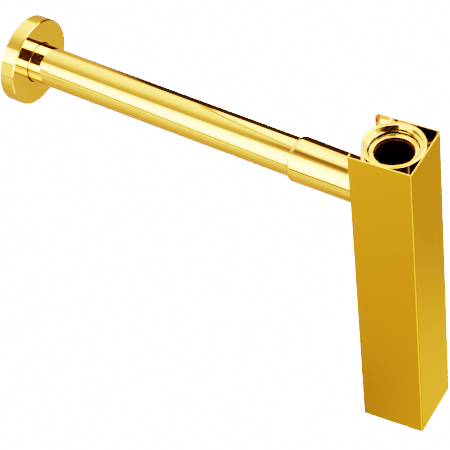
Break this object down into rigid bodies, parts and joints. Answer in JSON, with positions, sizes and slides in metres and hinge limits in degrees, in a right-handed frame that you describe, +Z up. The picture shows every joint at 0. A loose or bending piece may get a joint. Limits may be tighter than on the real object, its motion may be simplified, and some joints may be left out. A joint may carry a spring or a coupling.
{
  "type": "sink trap",
  "caption": "Square bottle trap for a wash basin: folded slide-down cover over a round bottle, union nut inlet, telescopic outlet pipe and round wall flange.",
  "frame": {"origin": "centre of the inlet, on the top face of the dip tube's spigot inside the union nut", "axes": "+Z up along the inlet, outlet pipe along -X towards the wall, cover's front face towards -Y, turned 4.7 degrees about Z as in the picture"},
  "size_m": [0.3821, 0.0716, 0.2852],
  "materials": {
    "gold_sheet": "gold-plated sheet, fine satin",
    "gold_polish": "gold-plated, mirror polish",
    "bare_brass": "bare brass, turned",
    "seal_rubber": "black rubber",
    "guide_plastic": "moulded black plastic"
  },
  "bodies": {
    "trap": {"trap_body": "bare_brass", "dip_tube": "gold_polish", "inlet_seal": "seal_rubber", "outlet_sleeve": "gold_polish", "outer_pipe_seal": "seal_rubber", "inner_pipe_seal": "seal_rubber"},
    "nut": {"union_nut": "gold_polish"},
    "pipe": {"outlet_pipe": "gold_polish"},
    "flange": {"wall_flange": "gold_polish", "flange_ring": "seal_rubber"},
    "guides": {"upper_guide": "guide_plastic", "lower_guide": "guide_plastic"},
    "cover": {"cover": "gold_sheet"},
    "cup_seal": {"cup_seal": "seal_rubber"},
    "cup": {"cleaning_cup": "bare_brass"}
  },
  "joints": [
    {"name": "nut_spin", "type": "hinge", "parent": "trap", "child": "nut", "pos_m": [0, 0, 0], "axis": [0, 0, 1], "continuous": true},
    {"name": "pipe_slide", "type": "slide", "parent": "trap", "child": "pipe", "axis": [1, 0, 0], "range_m": [-0.012, 0.025]},
    {"name": "flange_slide", "type": "slide", "parent": "pipe", "child": "flange", "axis": [1, 0, 0], "range_m": [-0.008, 0.2]},
    {"name": "cover_turn", "type": "hinge", "parent": "trap", "child": "guides", "pos_m": [0, 0, 0], "axis": [0, 0, 1], "range_deg": [-10.7, 1.3]},
    {"name": "cover_slide", "type": "slide", "parent": "guides", "child": "cover", "axis": [0, 0, -1], "range_m": [0, 0.165]},
    {"name": "cup_drop", "type": "slide", "parent": "trap", "child": "cup_seal", "axis": [0, 0, -1], "range_m": [0, 0.006]},
    {"name": "cup_turn", "type": "hinge", "parent": "cup_seal", "child": "cup", "pos_m": [0, 0, -0.19], "axis": [0, 0, -1], "range_deg": [0, 1080]}
  ],
  "couplings": [
    {"joint": "cup_turn", "follows": "cup_drop", "rad_per_m": 3141.6}
  ]
}
